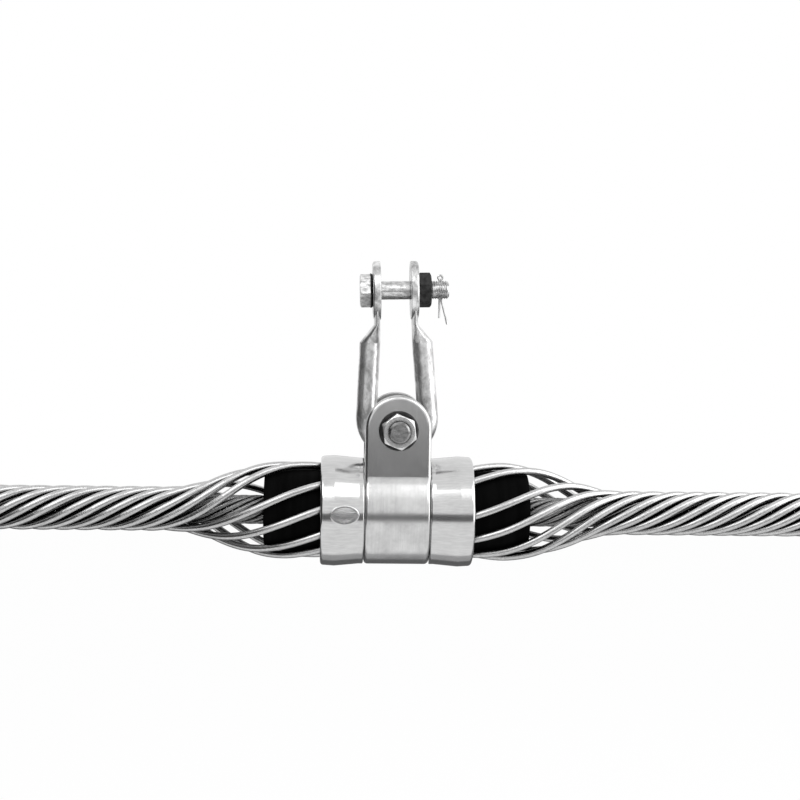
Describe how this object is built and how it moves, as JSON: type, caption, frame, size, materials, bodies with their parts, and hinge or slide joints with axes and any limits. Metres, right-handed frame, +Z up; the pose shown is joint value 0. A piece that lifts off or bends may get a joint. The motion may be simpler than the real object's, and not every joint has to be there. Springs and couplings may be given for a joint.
{
  "type": "preformed suspension clamp",
  "caption": "Cable suspension clamp: a split housing on a rubber insert inside a cage of helical rods, held by a U strap and hung from an extended shackle.",
  "frame": {"origin": "centre of the cable way, midway between the ends of the rods", "axes": "+X along the cable way, +Z up towards the shackle's bolt, the front with the strap's nut faces -Y"},
  "size_m": [0.7912, 0.1078, 0.2679],
  "materials": {
    "rod_aluminium": "bright drawn wire",
    "cast_aluminium": "smooth cast, lightly polished",
    "strap_aluminium": "satin",
    "galvanised_steel": "hot-dip galvanised, mottled",
    "zinc_plated_steel": "bright zinc",
    "dark_steel": "dark oxide",
    "bright_wire": "drawn wire",
    "black_rubber": "moulded, matt"
  },
  "bodies": {
    "shackle": {"shackle": "galvanised_steel", "shackle_bolt": "galvanised_steel", "shackle_washer": "dark_steel", "shackle_nut": "dark_steel", "cotter_pin": "bright_wire"},
    "cross_bolt": {"strap_bolt": "galvanised_steel", "strap_washer": "dark_steel", "strap_nut": "zinc_plated_steel"},
    "clamp": {"strap": "strap_aluminium", "housing_front": "cast_aluminium", "housing_rear": "cast_aluminium", "insert_front": "black_rubber", "insert_rear": "black_rubber", "inner_rod_01": "rod_aluminium", "inner_rod_02": "rod_aluminium", "inner_rod_03": "rod_aluminium", "inner_rod_04": "rod_aluminium", "inner_rod_05": "rod_aluminium", "inner_rod_06": "rod_aluminium", "inner_rod_07": "rod_aluminium", "inner_rod_08": "rod_aluminium", "inner_rod_09": "rod_aluminium", "inner_rod_10": "rod_aluminium", "inner_rod_11": "rod_aluminium", "inner_rod_12": "rod_aluminium", "inner_rod_13": "rod_aluminium", "outer_rod_01": "rod_aluminium", "outer_rod_02": "rod_aluminium", "outer_rod_03": "rod_aluminium", "outer_rod_04": "rod_aluminium", "outer_rod_05": "rod_aluminium", "outer_rod_06": "rod_aluminium", "outer_rod_07": "rod_aluminium", "outer_rod_08": "rod_aluminium", "outer_rod_09": "rod_aluminium", "outer_rod_10": "rod_aluminium"}
  },
  "joints": [
    {"name": "shackle_rock", "type": "hinge", "parent": "shackle", "child": "cross_bolt", "pos_m": [0.00048, 0, 0.05491], "axis": [0.9997, 0, 0.0262], "range_deg": [-20, 20]},
    {"name": "strap_swing", "type": "hinge", "parent": "cross_bolt", "child": "clamp", "pos_m": [0, 0, 0.0732], "axis": [0, 1, 0], "range_deg": [-45, 45]}
  ]
}
